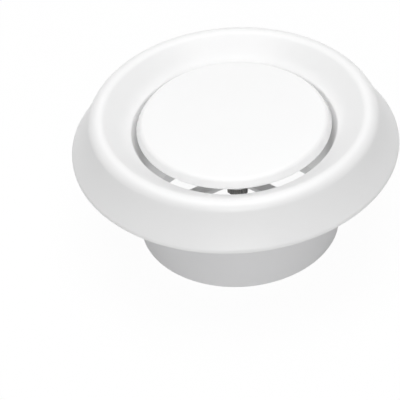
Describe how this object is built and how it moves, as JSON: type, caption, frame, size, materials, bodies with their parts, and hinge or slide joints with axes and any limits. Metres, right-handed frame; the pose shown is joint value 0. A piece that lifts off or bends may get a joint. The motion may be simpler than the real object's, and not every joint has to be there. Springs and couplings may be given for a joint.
{
  "type": "ventilation disc valve",
  "caption": "Round disc valve for a wall or ceiling duct: a flared ring with a spigot, and a disc on a threaded spindle that sets the air gap.",
  "frame": {"origin": "on the valve's axis, in the plane of the wall that the rim meets", "axes": "+Z along the valve's axis, out of the duct and into the room"},
  "size_m": [0.159, 0.159, 0.0699],
  "materials": {
    "white_plastic": "smooth white moulding with a soft gloss",
    "ring_plastic": "smooth white moulding with a satin surface",
    "foam": "closed-cell foam",
    "zinc_steel": "bright zinc-plated steel"
  },
  "bodies": {
    "mount": {"mounting_ring": "ring_plastic"},
    "ring": {"valve_ring": "white_plastic", "foam_seal": "foam", "hub_nut": "zinc_steel"},
    "disc_carrier": {"jam_washer": "zinc_steel"},
    "disc": {"valve_disc": "white_plastic", "spindle": "zinc_steel", "jam_nut": "zinc_steel"},
    "lock_carrier": {"lock_washer": "zinc_steel"},
    "lock": {"lock_nut": "zinc_steel"}
  },
  "joints": [
    {"name": "bayonet_twist", "type": "hinge", "parent": "mount", "child": "ring", "pos_m": [0, 0, 0], "axis": [0, 0, 1], "range_deg": [0, 30]},
    {"name": "disc_travel", "type": "slide", "parent": "ring", "child": "disc_carrier", "axis": [0, 0, 1], "range_m": [-0.0065, 0.012]},
    {"name": "disc_turn", "type": "hinge", "parent": "disc_carrier", "child": "disc", "pos_m": [0, 0, 0], "axis": [0, 0, 1], "range_deg": [-2346, 4326]},
    {"name": "lock_travel", "type": "slide", "parent": "ring", "child": "lock_carrier", "axis": [0, 0, 1], "range_m": [-0.01, 0]},
    {"name": "lock_turn", "type": "hinge", "parent": "lock_carrier", "child": "lock", "pos_m": [0, 0, 0], "axis": [0, 0, 1], "range_deg": [-3606, 0]}
  ],
  "couplings": [
    {"joint": "disc_turn", "follows": "disc_travel", "rad_per_m": 6283.2},
    {"joint": "lock_turn", "follows": "lock_travel", "rad_per_m": 6283.2}
  ]
}
